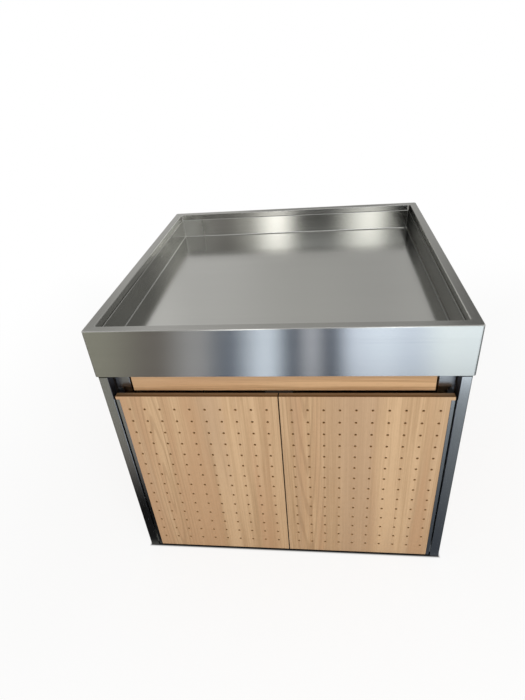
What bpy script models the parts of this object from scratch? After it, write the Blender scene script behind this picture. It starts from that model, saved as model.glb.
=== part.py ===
"""Produce display bin: a stainless tray on a tube frame, with a boarded cupboard below it.

The origin is on the floor under the middle of the tray. +Z is up and the doors face -Y.
Sizes are in metres.
"""
import math

import bmesh
import bpy
from mathutils import Matrix, Vector

# Tray
TRAY_WIDTH = 0.900
TRAY_DEPTH = 0.900
TOTAL_HEIGHT = 0.800
APRON_HEIGHT = 0.130
RIM_WIDTH = 0.025
RETURN_DROP = 0.034
SHEET = 0.0015
SHELL_BEND = 0.003
PAN_LIP_DROP = 0.019
PAN_FLOOR_DROP = 0.084
PAN_BEND = 0.004
PAN_HEM_DROP = 0.010

# Tube frame
FRAME_INSET = 0.005
TUBE = 0.025
TUBE_WALL = 0.0015
TUBE_CORNER = 0.0025
FOOT_BASE = 0.003
FOOT_STEM = 0.018
BOTTOM_RAIL_CLEAR = 0.010
BEARER_OFFSET = 0.150
POST_WIDTH = 0.040
POST_DEPTH = 0.020
POST_SETBACK = 0.030

# Boards
PANEL_BOARD = 0.016
HEADER_BOARD = 0.016
BASE_BOARD = 0.016
HEADER_END_GAP = 0.004
HEADER_OVERLAP = 0.003
NOTCH_CLEAR = 0.001

# Doors
DOOR_BOARD = 0.016
DOOR_SIDE_GAP = 0.004
DOOR_MIDDLE_GAP = 0.003
DOOR_FLOOR_GAP = 0.008
FINGER_GAP = 0.065
HOLE_DIAMETER = 0.006
HOLE_PITCH = 0.0395
HOLE_SIDE_MARGIN = 0.027
HOLE_END_MARGIN = 0.035
HOLE_SIDES = 6

# Door pivots
EDGE_TUBE_WIDTH = 0.009
EDGE_TUBE_WALL = 0.0012
EDGE_TUBE_CORNER = 0.001
EDGE_CAP = 0.0095
PIVOT_FROM_FRONT = 0.006
PIN_DIAMETER = 0.004
PIN_IN_BUSH = 0.010
BUSH_LENGTH = 0.012
ARM_WIDTH = 0.006
ARM_ROOT_WIDTH = 0.016
ARM_THICKNESS = 0.003
ARM_SLOT_HEIGHT = 0.0045
ARM_SLOT_SKIN = 0.0018
ARM_LIFT = 0.0005
LOWER_TAB_WIDTH = 0.010
LOWER_TAB_THICKNESS = 0.003
WASHER_DIAMETER = 0.0085
WASHER_THICKNESS = 0.0011

# Strips and tabs that hold the boards
STRIP_LENGTH = 0.700
STRIP_WIDTH = 0.030
STRIP_ON_RAIL = 0.011
STRIP_THICKNESS = 0.002
HEADER_TAB_LENGTH = 0.035
HEADER_TAB_HEIGHT = 0.060
HEADER_TAB_THICKNESS = 0.002

# Magnetic catch
CATCH_WIDTH = 0.070
CATCH_HEIGHT = 0.014
CATCH_EDGE = 0.0012
MAGNET_SPACING = 0.040
MAGNET_WIDTH = 0.018
MAGNET_HEIGHT = 0.008
MAGNET_DEPTH = 0.004
STRIKE_WIDTH = 0.024
STRIKE_HEIGHT = 0.012
STRIKE_THICKNESS = 0.001
STRIKE_CORNER = 0.002

# Clearances and facets
SEAT = 0.0003
RUNNING = 0.0003
OVERCUT = 0.001
WELD_DISTANCE = 0.00001
CORNER_STEPS = 2
BEND_STEPS = 3
ROUND_SIDES = 12
SHARP_ANGLE = math.radians(40)

# Directions in which an outline drawn in its own XY plane is extruded
ALONG_X = (math.radians(90), 0, math.radians(90))
ALONG_Y = (math.radians(90), 0, 0)
ALONG_Z = (0, 0, 0)
SIDES = (("left", -1), ("right", 1))
ENDS = (("front", -1), ("rear", 1))

# Places that follow from the sizes
LEG_INNER_X = TRAY_WIDTH / 2 - FRAME_INSET - TUBE
LEG_INNER_Y = TRAY_DEPTH / 2 - FRAME_INSET - TUBE
FRAME_TOP = TOTAL_HEIGHT - PAN_FLOOR_DROP - SHEET - SEAT
TOP_RAIL_LOW = FRAME_TOP - TUBE
BOTTOM_RAIL_TOP = BOTTOM_RAIL_CLEAR + TUBE
DOOR_FRONT = -TRAY_DEPTH / 2 + FRAME_INSET
DOOR_BACK = DOOR_FRONT + DOOR_BOARD
DOOR_TOP = TOTAL_HEIGHT - APRON_HEIGHT - FINGER_GAP
DOOR_EDGE = LEG_INNER_X - DOOR_SIDE_GAP
DOOR_WIDTH = DOOR_EDGE - DOOR_MIDDLE_GAP / 2
DOOR_HEIGHT = DOOR_TOP - DOOR_FLOOR_GAP
EDGE_TUBE_TOP = DOOR_TOP - EDGE_CAP - SEAT
PIVOT_X = DOOR_EDGE - EDGE_TUBE_WIDTH / 2
PIVOT_Y = DOOR_FRONT + PIVOT_FROM_FRONT
POST_FRONT = DOOR_FRONT + POST_SETBACK
POST_INNER = LEG_INNER_X - SEAT - POST_WIDTH
HEADER_LOW = DOOR_TOP - HEADER_OVERLAP
HEADER_BACK = POST_FRONT + HEADER_BOARD
BASE_TOP = BOTTOM_RAIL_TOP + SEAT + BASE_BOARD


def remove_everything():
    """Start from an empty scene."""
    for old in list(bpy.data.objects):
        bpy.data.objects.remove(old, do_unlink=True)


def make_collection(name):
    """A collection linked into the scene."""
    collection = bpy.data.collections.new(name)
    bpy.context.scene.collection.children.link(collection)
    return collection


def make_finish(name, colour, roughness, metallic):
    """A plain finish: base colour, roughness and how metallic it is."""
    finish = bpy.data.materials.new(name)
    finish.use_nodes = True
    shader = finish.node_tree.nodes["Principled BSDF"]
    shader.inputs["Base Color"].default_value = (*colour, 1)
    shader.inputs["Roughness"].default_value = roughness
    shader.inputs["Metallic"].default_value = metallic
    return finish


remove_everything()
PARTS = make_collection("produce_display_bin")
CUTTERS = make_collection("cutters")
BRUSHED_STEEL = make_finish("brushed_steel", (0.56, 0.56, 0.54), 0.32, 1.0)
DARK_STEEL = make_finish("frame_steel", (0.36, 0.37, 0.38), 0.36, 1.0)
WOOD = make_finish("wood_board", (0.58, 0.39, 0.22), 0.45, 0.0)
BLACK_PLASTIC = make_finish("black_plastic", (0.03, 0.03, 0.03), 0.5, 0.0)
NYLON = make_finish("white_nylon", (0.8, 0.79, 0.75), 0.45, 0.0)
PLATED_STEEL = make_finish("plated_steel", (0.62, 0.63, 0.66), 0.3, 1.0)
MAGNET = make_finish("magnet", (0.12, 0.12, 0.12), 0.55, 0.0)


def add_part(name, data, finish, centre=(0, 0, 0), turn=ALONG_Z, pivot=None):
    """Put a shape in the model, on its pivot empty if it moves."""
    part = bpy.data.objects.new(name, data)
    part.rotation_euler = turn
    part.location = Vector(centre)
    if pivot:
        part.parent = pivot
        part.location -= pivot.location
    if not data.materials:
        data.materials.append(finish)
    PARTS.objects.link(part)
    return part


def rectangle(width, height):
    """Corner points of a rectangle centred on zero."""
    x = width / 2
    y = height / 2
    return [(-x, -y), (x, -y), (x, y), (-x, y)]


def arc(centre, radius, start, end, steps):
    """Points along an arc, angles in degrees."""
    turns = [math.radians(start + (end - start) * i / steps) for i in range(steps + 1)]
    return [(centre[0] + radius * math.cos(t), centre[1] + radius * math.sin(t)) for t in turns]


def rounded_rectangle(width, height, radius):
    """A rectangle centred on zero whose corners are arcs."""
    points = []
    for (x, y), start in zip(rectangle(width - 2 * radius, height - 2 * radius), (180, 270, 0, 90)):
        points += arc((x, y), radius, start, start + 90, CORNER_STEPS)
    return points


def circle(centre, diameter, sides):
    """A round outline of flat sides, turned so that no two corners are level."""
    start = 90 / sides
    return arc(centre, diameter / 2, start, start + 360 - 360 / sides, sides - 1)


def extruded(name, outlines, thickness):
    """A flat outline, with any further outlines as holes in it, given a thickness."""
    curve = bpy.data.curves.new(name, "CURVE")
    curve.dimensions = "2D"
    curve.fill_mode = "BOTH"
    curve.extrude = thickness / 2
    for points in outlines:
        spline = curve.splines.new("POLY")
        spline.points.add(len(points) - 1)
        for point, (x, y) in zip(spline.points, points):
            point.co = (x, y, 0, 1)
        spline.use_cyclic_u = True
    return curve


def mesh_of(curve):
    """The closed mesh of an extruded outline, for cutting or repeating."""
    stand_in = bpy.data.objects.new(curve.name, curve)
    CUTTERS.objects.link(stand_in)
    bpy.context.view_layer.update()
    evaluated = stand_in.evaluated_get(bpy.context.evaluated_depsgraph_get())
    mesh = bpy.data.meshes.new_from_object(evaluated)
    bpy.data.objects.remove(stand_in, do_unlink=True)
    shape = bmesh.new()
    shape.from_mesh(mesh)
    bmesh.ops.remove_doubles(shape, verts=shape.verts, dist=WELD_DISTANCE)
    return finish_mesh(shape, mesh)


def finish_mesh(shape, mesh):
    """Write a bmesh into a mesh and let it go."""
    shape.to_mesh(mesh)
    shape.free()
    return mesh


def smooth(mesh):
    """Shade the round faces smooth and keep the hard edges."""
    mesh.shade_smooth()
    mesh.set_sharp_from_angle(angle=SHARP_ANGLE)
    return mesh


def cut_by(part, name, mesh, centre, turn=ALONG_Z):
    """Cut a shape out of a part."""
    cutter = bpy.data.objects.new(name, mesh)
    cutter.location = centre
    cutter.rotation_euler = turn
    cutter.hide_render = True
    cutter.display_type = "WIRE"
    CUTTERS.objects.link(cutter)
    boolean = part.modifiers.new(name, "BOOLEAN")
    boolean.operation = "DIFFERENCE"
    boolean.solver = "EXACT"
    boolean.object = cutter


def cut_box(part, name, low, high):
    """Cut a box, given by two opposite corners in the world, out of a part."""
    low = Vector(low)
    high = Vector(high)
    cut_by(part, name, box_mesh(name, high - low), (low + high) / 2)


def box_mesh(name, size):
    """A plain block centred on zero."""
    shape = bmesh.new()
    bmesh.ops.create_cube(shape, size=1)
    bmesh.ops.scale(shape, vec=size, verts=shape.verts)
    return finish_mesh(shape, bpy.data.meshes.new(name))


def tube(name, finish, centre, turn, length, width=TUBE, height=TUBE, wall=TUBE_WALL,
         corner=TUBE_CORNER, pivot=None):
    """A length of rectangular tube with rounded corners, open at both ends."""
    outer = rounded_rectangle(width, height, corner)
    bore = rectangle(width - 2 * wall, height - 2 * wall)
    return add_part(name, extruded(name, (outer, bore), length), finish, centre, turn, pivot)


def solidify(part):
    """Give an open surface its sheet thickness, behind the side that shows."""
    wall = part.modifiers.new("sheet", "SOLIDIFY")
    wall.thickness = SHEET
    wall.offset = -1
    wall.use_even_offset = True


def bend(shape, edges, radius):
    """Round the given edges of an open surface, as a press brake does."""
    bmesh.ops.bevel(shape, geom=edges, offset=radius, segments=BEND_STEPS, profile=0.5,
                    affect="EDGES", clamp_overlap=True, material=-1)


def open_edges(shape):
    """The edges where a sheet ends."""
    return [edge for edge in shape.edges if edge.is_boundary]


def fold_down(shape, edges, drop):
    """Extend the sheet straight down from the given edges."""
    fold = bmesh.ops.extrude_edge_only(shape, edges=edges)["geom"]
    lower = [item for item in fold if isinstance(item, bmesh.types.BMVert)]
    bmesh.ops.translate(shape, vec=(0, 0, -drop), verts=lower)


def face_up(shape):
    """Turn all faces to one side of the sheet, with the level ones facing up."""
    bmesh.ops.recalc_face_normals(shape, faces=shape.faces)
    level = max(shape.faces, key=lambda face: abs(face.normal.z) * face.calc_area())
    if level.normal.z < 0:
        bmesh.ops.reverse_faces(shape, faces=shape.faces)


def make_tray_shell():
    """Apron, rim and inner return, folded from one sheet with welded corners."""
    shape = bmesh.new()
    bmesh.ops.create_grid(shape, x_segments=1, y_segments=1, size=0.5)
    bmesh.ops.scale(shape, vec=(TRAY_WIDTH, TRAY_DEPTH, 1), verts=shape.verts)
    bmesh.ops.translate(shape, vec=(0, 0, TOTAL_HEIGHT), verts=shape.verts)
    mouth = shape.faces[:]
    bmesh.ops.inset_region(shape, faces=mouth, thickness=RIM_WIDTH, use_boundary=True, use_even_offset=True)
    inside = mouth[0].edges[:]
    bmesh.ops.delete(shape, geom=mouth, context="FACES_ONLY")
    outside = [edge for edge in open_edges(shape) if edge not in inside]
    fold_down(shape, outside, APRON_HEIGHT)
    fold_down(shape, inside, RETURN_DROP)
    upright = [edge for edge in shape.edges if abs(edge.verts[0].co.z - edge.verts[1].co.z) > SHEET]
    bend(shape, upright + outside + inside, SHELL_BEND)
    face_up(shape)
    mesh = smooth(finish_mesh(shape, bpy.data.meshes.new("tray_shell")))
    solidify(add_part("tray_shell", mesh, BRUSHED_STEEL))


def make_tray_pan():
    """The pan that the goods lie in, with a hem folded out along its top edge."""
    hem = 2 * SHEET + SEAT
    wall_inset = RIM_WIDTH + SEAT + hem
    width = TRAY_WIDTH - 2 * wall_inset
    depth = TRAY_DEPTH - 2 * wall_inset
    floor_z = TOTAL_HEIGHT - PAN_FLOOR_DROP
    lip_z = TOTAL_HEIGHT - PAN_LIP_DROP
    shape = bmesh.new()
    bmesh.ops.create_cube(shape, size=1)
    bmesh.ops.scale(shape, vec=(width, depth, lip_z - floor_z), verts=shape.verts)
    bmesh.ops.translate(shape, vec=(0, 0, (lip_z + floor_z) / 2), verts=shape.verts)
    lid = [face for face in shape.faces if face.normal.z > 0.5]
    bmesh.ops.delete(shape, geom=lid, context="FACES_ONLY")
    bend(shape, [edge for edge in shape.edges if not edge.is_boundary], PAN_BEND)
    inner_lip = open_edges(shape)
    fold = bmesh.ops.extrude_edge_only(shape, edges=inner_lip)["geom"]
    outer = [item for item in fold if isinstance(item, bmesh.types.BMVert)]
    bmesh.ops.scale(shape, vec=(1 + 2 * hem / width, 1 + 2 * hem / depth, 1), verts=outer)
    outer_lip = open_edges(shape)
    fold_down(shape, outer_lip, PAN_HEM_DROP)
    bend(shape, inner_lip + outer_lip, hem / 2 - WELD_DISTANCE)
    face_up(shape)
    mesh = smooth(finish_mesh(shape, bpy.data.meshes.new("tray_pan")))
    solidify(add_part("tray_pan", mesh, BRUSHED_STEEL))


def make_foot(name, centre):
    """A plastic plug: a base that shows below the tube and a stem pushed up inside it."""
    shape = bmesh.new()
    base = FOOT_BASE - SEAT
    bmesh.ops.create_cube(shape, size=1)
    bmesh.ops.scale(shape, vec=(TUBE, TUBE, base), verts=shape.verts)
    bmesh.ops.translate(shape, vec=(0, 0, base / 2), verts=shape.verts)
    corners = [edge for edge in shape.edges if edge.verts[0].co.xy == edge.verts[1].co.xy]
    bmesh.ops.bevel(shape, geom=corners, offset=TUBE_CORNER, segments=CORNER_STEPS, profile=0.5,
                    affect="EDGES", material=-1)
    top = [face for face in shape.faces if face.normal.z > 0.5]
    bmesh.ops.inset_region(shape, faces=top, thickness=TUBE_WALL + SEAT, use_even_offset=True)
    stem = bmesh.ops.extrude_discrete_faces(shape, faces=top)["faces"]
    bmesh.ops.translate(shape, vec=(0, 0, FOOT_STEM), verts=stem[0].verts)
    add_part(name, finish_mesh(shape, bpy.data.meshes.new(name)), BLACK_PLASTIC, centre)


def make_legs():
    """A square tube at each corner, with a foot plugged into its lower end."""
    length = FRAME_TOP - FOOT_BASE
    for end, way_y in ENDS:
        for side, way_x in SIDES:
            x = way_x * (LEG_INNER_X + TUBE / 2)
            y = way_y * (LEG_INNER_Y + TUBE / 2)
            tube(f"leg_{end}_{side}", DARK_STEEL, (x, y, FOOT_BASE + length / 2), ALONG_Z, length)
            make_foot(f"foot_{end}_{side}", (x, y, 0))


def make_rails():
    """The ring under the tray and the ring near the floor, butted between the legs."""
    across = 2 * (LEG_INNER_X - SEAT)
    along = 2 * (LEG_INNER_Y - SEAT)
    for level, z in (("top", FRAME_TOP - TUBE / 2), ("bottom", BOTTOM_RAIL_TOP - TUBE / 2)):
        for end, way in ENDS:
            y = way * (LEG_INNER_Y + TUBE / 2)
            if (level, end) == ("bottom", "front"):
                y = POST_FRONT + TUBE / 2
            tube(f"{level}_rail_{end}", DARK_STEEL, (0, y, z), ALONG_X, across)
        for side, way in SIDES:
            x = way * (LEG_INNER_X + TUBE / 2)
            tube(f"{level}_rail_{side}", DARK_STEEL, (x, 0, z), ALONG_Y, along)


def make_bearers():
    """Tubes from front to back that carry the pan and the cupboard's floor."""
    rear = LEG_INNER_Y - STRIP_THICKNESS - 2 * SEAT
    spans = (("pan", -LEG_INNER_Y + SEAT, FRAME_TOP), ("base", POST_FRONT + TUBE + SEAT, BOTTOM_RAIL_TOP))
    for side, way in SIDES:
        for use, front, top in spans:
            centre = (way * BEARER_OFFSET, (front + rear) / 2, top - TUBE / 2)
            tube(f"{use}_bearer_{side}", DARK_STEEL, centre, ALONG_Y, rear - front)


def make_hinge_posts():
    """Posts set back behind the doors, standing on the front bottom rail."""
    low = BOTTOM_RAIL_TOP + SEAT
    for side, way in SIDES:
        centre = (way * (POST_INNER + POST_WIDTH / 2), POST_FRONT + POST_DEPTH / 2, (low + FRAME_TOP) / 2)
        tube(f"hinge_post_{side}", DARK_STEEL, centre, ALONG_Z, FRAME_TOP - low, POST_WIDTH, POST_DEPTH)


def make_header():
    """The recessed board over the doors, and the tabs on the posts that hold it."""
    low = HEADER_LOW
    high = TOP_RAIL_LOW - SEAT
    middle = (low + high) / 2
    outline = rectangle(2 * (POST_INNER - HEADER_END_GAP), high - low)
    board = extruded("header_panel", (outline,), HEADER_BOARD)
    add_part("header_panel", board, WOOD, (0, POST_FRONT + HEADER_BOARD / 2, middle), ALONG_Y)
    tab = box_mesh("header_tab", (HEADER_TAB_LENGTH, HEADER_TAB_THICKNESS, HEADER_TAB_HEIGHT))
    y = HEADER_BACK + SEAT + HEADER_TAB_THICKNESS / 2
    for side, way in SIDES:
        x = way * (POST_INNER - SEAT - HEADER_TAB_LENGTH / 2)
        add_part(f"header_tab_{side}", tab, DARK_STEEL, (x, y, middle))


def make_panels():
    """Side and rear boards between the rails, flush with the inside of the frame."""
    low = BOTTOM_RAIL_TOP + SEAT
    high = TOP_RAIL_LOW - SEAT
    middle = (low + high) / 2
    side = rectangle(2 * (LEG_INNER_Y - SEAT), high - low)
    for name, way in SIDES:
        board = extruded(f"side_panel_{name}", (side,), PANEL_BOARD)
        x = way * (LEG_INNER_X + PANEL_BOARD / 2)
        add_part(f"side_panel_{name}", board, WOOD, (x, 0, middle), ALONG_X)
    rear = extruded("rear_panel", (rectangle(2 * (LEG_INNER_X - SEAT), high - low),), PANEL_BOARD)
    add_part("rear_panel", rear, WOOD, (0, LEG_INNER_Y + PANEL_BOARD / 2, middle), ALONG_Y)


def make_panel_strips():
    """Flat bars welded along the inside of the rails, which the boards are screwed to."""
    reach = STRIP_WIDTH / 2 - STRIP_ON_RAIL
    along = box_mesh("side_strip", (STRIP_THICKNESS, STRIP_LENGTH, STRIP_WIDTH))
    across = box_mesh("rear_strip", (STRIP_LENGTH, STRIP_THICKNESS, STRIP_WIDTH))
    back = SEAT + STRIP_THICKNESS / 2
    for level, z in (("top", TOP_RAIL_LOW - reach), ("bottom", BOTTOM_RAIL_TOP + reach)):
        for side, way in SIDES:
            add_part(f"{level}_strip_{side}", along, DARK_STEEL, (way * (LEG_INNER_X - back), 0, z))
        add_part(f"{level}_strip_rear", across, DARK_STEEL, (0, LEG_INNER_Y - back, z))


def make_base_board():
    """The cupboard's floor, notched round the posts and clear of the panel strips."""
    rim = STRIP_THICKNESS + 2 * SEAT + NOTCH_CLEAR
    side = LEG_INNER_X - rim
    rear = LEG_INNER_Y - rim
    front = POST_FRONT + NOTCH_CLEAR
    notch_x = POST_INNER - NOTCH_CLEAR
    notch_y = POST_FRONT + POST_DEPTH + NOTCH_CLEAR
    half = [(notch_x, front), (notch_x, notch_y), (side, notch_y), (side, rear)]
    outline = half + [(-x, y) for x, y in reversed(half)]
    board = extruded("base_board", (outline,), BASE_BOARD)
    add_part("base_board", board, WOOD, (0, 0, BASE_TOP - BASE_BOARD / 2))


def perforation():
    """Rods for a square grid of holes, as many as fit inside the margins, centred on the door."""
    columns = int((DOOR_WIDTH - 2 * HOLE_SIDE_MARGIN) / HOLE_PITCH) + 1
    rows = int((DOOR_HEIGHT - 2 * HOLE_END_MARGIN) / HOLE_PITCH) + 1
    radius = HOLE_DIAMETER / 2
    shape = bmesh.new()
    for row in range(rows):
        for column in range(columns):
            spot = ((column - (columns - 1) / 2) * HOLE_PITCH, (row - (rows - 1) / 2) * HOLE_PITCH, 0)
            bmesh.ops.create_cone(shape, cap_ends=True, segments=HOLE_SIDES, radius1=radius, radius2=radius,
                                  depth=DOOR_BOARD + 2 * OVERCUT, matrix=Matrix.Translation(spot))
    return finish_mesh(shape, bpy.data.meshes.new("perforation"))


def make_door(side, way, pivot):
    """A perforated board, stepped back along its hinge edge for the edge tube."""
    x = DOOR_WIDTH / 2
    z = DOOR_HEIGHT / 2
    step = x - EDGE_TUBE_WIDTH - SEAT
    cap = z - EDGE_CAP
    edge = [(x, z), (x, cap), (step, cap), (step, -z), (-x, -z), (-x, z)]
    name = f"door_{side}"
    centre = (way * (DOOR_EDGE - x), DOOR_FRONT + DOOR_BOARD / 2, DOOR_FLOOR_GAP + z)
    outline = [(way * u, v) for u, v in edge]
    board = add_part(name, mesh_of(extruded(name, (outline,), DOOR_BOARD)), WOOD, centre, ALONG_Y, pivot)
    cut_by(board, f"perforation_{side}", perforation(), centre, ALONG_Y)

    # The slot that the pivot arm swings in is open to the back and to the hinge edge.
    slot_x = (way * (PIVOT_X - ARM_WIDTH / 2 - SEAT), way * (DOOR_EDGE + OVERCUT))
    slot_low = DOOR_TOP - EDGE_CAP
    cut_box(board, f"arm_slot_{side}",
            (min(slot_x), DOOR_FRONT + ARM_SLOT_SKIN, slot_low - OVERCUT),
            (max(slot_x), DOOR_BACK + OVERCUT, slot_low + ARM_SLOT_HEIGHT))


def make_edge_tube(side, way, pivot):
    """The steel tube down the door's hinge edge, with a nylon bush in each end."""
    length = EDGE_TUBE_TOP - DOOR_FLOOR_GAP
    centre = (way * PIVOT_X, DOOR_FRONT + DOOR_BOARD / 2, DOOR_FLOOR_GAP + length / 2)
    tube(f"door_edge_tube_{side}", DARK_STEEL, centre, ALONG_Z, length, EDGE_TUBE_WIDTH, DOOR_BOARD,
         EDGE_TUBE_WALL, EDGE_TUBE_CORNER, pivot)
    wall = EDGE_TUBE_WALL + SEAT
    body = rectangle(EDGE_TUBE_WIDTH - 2 * wall, DOOR_BOARD - 2 * wall)
    bore = circle((0, PIVOT_FROM_FRONT - DOOR_BOARD / 2), PIN_DIAMETER + 2 * RUNNING, ROUND_SIDES)
    for level, z in (("upper", EDGE_TUBE_TOP - BUSH_LENGTH / 2), ("lower", DOOR_FLOOR_GAP + BUSH_LENGTH / 2)):
        name = f"{level}_bush_{side}"
        bush = extruded(name, (body, bore), BUSH_LENGTH)
        add_part(name, bush, NYLON, (centre[0], centre[1], z), ALONG_Z, pivot)


def make_pin(name, x, low, high):
    """A round pivot pin standing on the door's axis."""
    shape = bmesh.new()
    radius = PIN_DIAMETER / 2
    bmesh.ops.create_cone(shape, cap_ends=True, segments=ROUND_SIDES, radius1=radius, radius2=radius,
                          depth=high - low)
    pin = smooth(finish_mesh(shape, bpy.data.meshes.new(name)))
    add_part(name, pin, PLATED_STEEL, (x, PIVOT_Y, (low + high) / 2))


def make_upper_pivot(side, way):
    """An arm from the hinge post that reaches into the door's slot and holds a pin."""
    half = ARM_WIDTH / 2
    root = ARM_ROOT_WIDTH / 2
    length = POST_FRONT - SEAT - PIVOT_Y
    neck = DOOR_BACK - PIVOT_Y + ARM_WIDTH / 2
    outline = arc((0, 0), half, 180, 360, 2 * BEND_STEPS)
    outline += [(half, neck), (root, (neck + length) / 2), (root, length)]
    outline += [(-root, length), (-root, (neck + length) / 2), (-half, neck)]
    hole = circle((0, 0), PIN_DIAMETER + 2 * SEAT, ROUND_SIDES)
    low = DOOR_TOP - EDGE_CAP + ARM_LIFT
    name = f"upper_pivot_arm_{side}"
    centre = (way * PIVOT_X, PIVOT_Y, low + ARM_THICKNESS / 2)
    add_part(name, extruded(name, (outline, hole), ARM_THICKNESS), DARK_STEEL, centre)
    make_pin(f"upper_pivot_pin_{side}", way * PIVOT_X, EDGE_TUBE_TOP - PIN_IN_BUSH, low + ARM_THICKNESS)


def make_lower_pivot(side, way):
    """A tab welded to the leg under the door, with its pin and the washer the door turns on."""
    washer_low = DOOR_FLOOR_GAP - SEAT - WASHER_THICKNESS
    tab_low = washer_low - SEAT - LOWER_TAB_THICKNESS
    half = LOWER_TAB_WIDTH / 2
    reach = LEG_INNER_X - SEAT - PIVOT_X
    points = arc((0, 0), half, 90, 270, 2 * BEND_STEPS) + [(reach, -half), (reach, half)]
    outline = [(way * x, y) for x, y in points]
    hole = circle((0, 0), PIN_DIAMETER + 2 * SEAT, ROUND_SIDES)
    name = f"lower_pivot_tab_{side}"
    centre = (way * PIVOT_X, PIVOT_Y, tab_low + LOWER_TAB_THICKNESS / 2)
    add_part(name, extruded(name, (outline, hole), LOWER_TAB_THICKNESS), DARK_STEEL, centre)
    make_pin(f"lower_pivot_pin_{side}", way * PIVOT_X, tab_low, DOOR_FLOOR_GAP + PIN_IN_BUSH)
    name = f"thrust_washer_{side}"
    ring = extruded(name, (circle((0, 0), WASHER_DIAMETER, ROUND_SIDES), hole), WASHER_THICKNESS)
    add_part(name, ring, NYLON, (way * PIVOT_X, PIVOT_Y, washer_low + WASHER_THICKNESS / 2))


def make_catch(pivots):
    """A double magnetic catch under the header, and a strike plate on each door."""
    strike_y = DOOR_BACK + SEAT + STRIKE_THICKNESS / 2
    front = DOOR_BACK + 2 * SEAT + STRIKE_THICKNESS
    depth = HEADER_BACK - front
    top = HEADER_LOW - SEAT
    middle_z = top - CATCH_HEIGHT / 2
    body = add_part("catch_body", box_mesh("catch_body", (CATCH_WIDTH, depth, CATCH_HEIGHT)), BLACK_PLASTIC,
                    (0, front + depth / 2, middle_z))
    rounding = body.modifiers.new("edges", "BEVEL")
    rounding.width = CATCH_EDGE
    rounding.segments = CORNER_STEPS
    magnet = box_mesh("magnet", (MAGNET_WIDTH, MAGNET_DEPTH, MAGNET_HEIGHT))
    outline = rounded_rectangle(STRIKE_WIDTH, STRIKE_HEIGHT, STRIKE_CORNER)
    for side, way in SIDES:
        x = way * MAGNET_SPACING / 2
        size = Vector((MAGNET_WIDTH / 2 + SEAT, 0, MAGNET_HEIGHT / 2 + SEAT))
        low = Vector((x, front - OVERCUT, middle_z)) - size
        high = Vector((x, front + MAGNET_DEPTH + SEAT, middle_z)) + size
        cut_box(body, f"magnet_pocket_{side}", low, high)
        add_part(f"catch_magnet_{side}", magnet, MAGNET, (x, front + MAGNET_DEPTH / 2, middle_z))
        plate = extruded(f"strike_plate_{side}", (outline,), STRIKE_THICKNESS)
        add_part(f"strike_plate_{side}", plate, PLATED_STEEL, (x, strike_y, middle_z), ALONG_Y, pivots[side])


def make_pivot(side, way):
    """An empty on the door's hinge axis, which carries the pieces that swing."""
    pivot = bpy.data.objects.new(f"door_pivot_{side}", None)
    pivot.location = (way * PIVOT_X, PIVOT_Y, 0)
    PARTS.objects.link(pivot)
    return pivot


def make_bin():
    """All the pieces, from the tray down."""
    make_tray_shell()
    make_tray_pan()
    make_legs()
    make_rails()
    make_bearers()
    make_hinge_posts()
    make_header()
    make_panels()
    make_panel_strips()
    make_base_board()
    pivots = {}
    for side, way in SIDES:
        pivots[side] = make_pivot(side, way)
        make_door(side, way, pivots[side])
        make_edge_tube(side, way, pivots[side])
        make_upper_pivot(side, way)
        make_lower_pivot(side, way)
    make_catch(pivots)


make_bin()
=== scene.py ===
import math

import bmesh
import bpy
from bmesh.types import BMEdge, BMFace, BMVert
from bpy.props import FloatProperty, FloatVectorProperty, IntProperty, PointerProperty
from mathutils import Matrix, Vector


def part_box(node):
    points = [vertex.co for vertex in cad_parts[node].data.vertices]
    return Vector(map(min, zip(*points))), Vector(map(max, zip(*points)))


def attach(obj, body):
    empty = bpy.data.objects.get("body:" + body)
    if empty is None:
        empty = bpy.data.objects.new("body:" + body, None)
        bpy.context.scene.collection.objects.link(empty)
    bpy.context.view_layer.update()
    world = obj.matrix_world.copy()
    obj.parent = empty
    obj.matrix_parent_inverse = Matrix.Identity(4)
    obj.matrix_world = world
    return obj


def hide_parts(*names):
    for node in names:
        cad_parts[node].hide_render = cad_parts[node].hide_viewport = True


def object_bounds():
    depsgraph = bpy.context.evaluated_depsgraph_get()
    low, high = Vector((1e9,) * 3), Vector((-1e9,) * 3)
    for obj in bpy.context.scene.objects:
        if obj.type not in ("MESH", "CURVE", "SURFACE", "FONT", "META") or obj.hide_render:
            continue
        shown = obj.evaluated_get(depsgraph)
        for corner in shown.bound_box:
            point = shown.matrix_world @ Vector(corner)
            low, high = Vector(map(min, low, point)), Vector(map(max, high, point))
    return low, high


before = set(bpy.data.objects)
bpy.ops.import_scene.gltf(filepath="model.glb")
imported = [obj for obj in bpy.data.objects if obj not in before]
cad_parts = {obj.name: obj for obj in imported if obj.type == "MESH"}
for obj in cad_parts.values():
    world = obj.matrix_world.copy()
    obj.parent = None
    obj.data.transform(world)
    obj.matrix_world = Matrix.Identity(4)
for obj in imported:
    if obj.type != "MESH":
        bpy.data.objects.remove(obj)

bl_info = {
    "name": "Produce Display Bin",
    "version": (1, 0, 0),
    "blender": (4, 5, 0),
    "location": "3D View > Sidebar > Bin",
    "description": "Dresses the produce display bin with folded sheet, brushed tube and wood board",
    "category": "Object",
}

CAD_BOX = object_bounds()
CABINET = "cabinet"
SIDES = {"left": -1, "right": 1}
CORNERS = ("front_left", "front_right", "rear_left", "rear_right")
PLAIN = (1.0, 1.0, 1.0)
NEAR = 1e-5


def length(name, description, default):
    """A size in metres that the user can change."""
    return FloatProperty(name=name, description=description, default=default, min=0.0,
                         precision=4, subtype="DISTANCE", unit="LENGTH")


def colour(name, description, default):
    """A colour that the user can change."""
    return FloatVectorProperty(name=name, description=description, default=default, size=3,
                               min=0.0, max=1.0, subtype="COLOR")


def strength(name, description, default):
    """A light's strength that the user can change."""
    return FloatProperty(name=name, description=description, default=default, min=0.0)


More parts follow.
